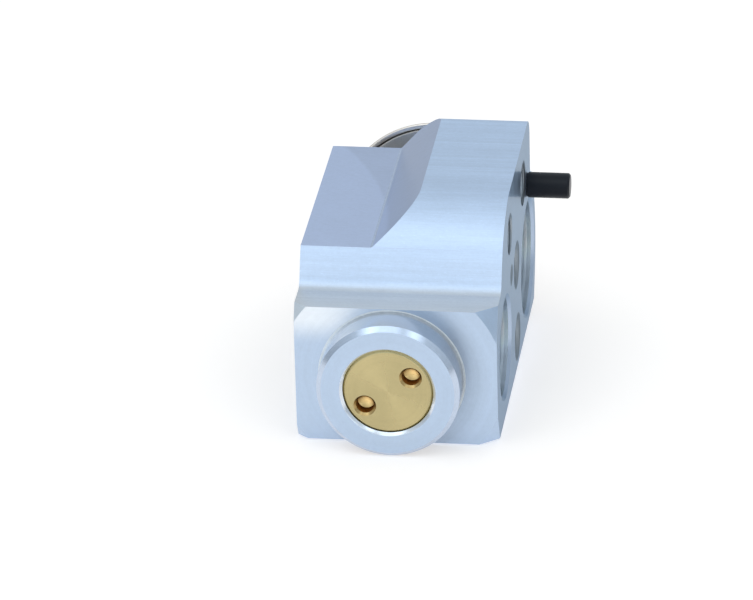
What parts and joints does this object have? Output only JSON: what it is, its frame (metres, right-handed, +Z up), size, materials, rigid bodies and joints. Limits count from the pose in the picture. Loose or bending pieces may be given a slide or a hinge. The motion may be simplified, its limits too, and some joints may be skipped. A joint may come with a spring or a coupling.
{
  "type": "expansion valve",
  "caption": "Block-type expansion valve for a car's air conditioning: aluminium body with pipe ports, brass adjusting plug and diaphragm head.",
  "frame": {"origin": "on the evaporator face, on the height of the valve axis, midway between the two fixing holes", "axes": "+X from the evaporator face to the pipe face, +Y along the valve axis from the adjusting plug to the power head, +Z up to the lug with the tapped holes"},
  "size_m": [0.0472, 0.0863, 0.0466],
  "materials": {
    "block_aluminium": "satin, milled and turned",
    "plug_brass": "turned",
    "pin_steel": "black oxide",
    "head_steel": "drawn stainless sheet",
    "inner_steel": "ground",
    "spring_steel": "plain",
    "rod_aluminium": "turned",
    "sleeve_plastic": "moulded",
    "seal_rubber": "matt"
  },
  "bodies": {
    "valve_body": {"valve_block": "block_aluminium", "locating_pin": "pin_steel", "bias_spring": "spring_steel", "rod_seal_o_ring": "seal_rubber", "rod_seal_washer": "sleeve_plastic", "rod_seal_retainer": "spring_steel", "diaphragm": "head_steel", "head_lower_housing": "head_steel", "head_upper_housing": "head_steel", "head_o_ring": "seal_rubber", "filler_plug": "inner_steel"},
    "plug_seal": {"adjusting_plug_o_ring": "seal_rubber"},
    "plug": {"adjusting_plug": "plug_brass"},
    "valve_stem": {"sensing_rod": "rod_aluminium", "push_rod": "inner_steel", "rod_sleeve": "sleeve_plastic", "pressure_pad": "rod_aluminium", "valve_ball": "inner_steel", "ball_carrier": "inner_steel", "damping_spring": "spring_steel"}
  },
  "joints": [
    {"name": "stem_lift", "type": "slide", "parent": "valve_body", "child": "valve_stem", "axis": [0, -1, 0], "range_m": [-0.00035, 0.0004], "stiffness_N_per_m": 3000, "deforming": ["bias_spring", "diaphragm"]},
    {"name": "plug_travel", "type": "slide", "parent": "valve_body", "child": "plug_seal", "axis": [0, 1, 0], "range_m": [-0.00025, 0.001], "deforming": ["bias_spring"]},
    {"name": "plug_turn", "type": "hinge", "parent": "plug_seal", "child": "plug", "pos_m": [0.0182, -0.034, 0], "axis": [0, 1, 0], "range_deg": [-90, 360]}
  ],
  "couplings": [
    {"joint": "plug_turn", "follows": "plug_travel", "rad_per_m": 6283.2}
  ]
}
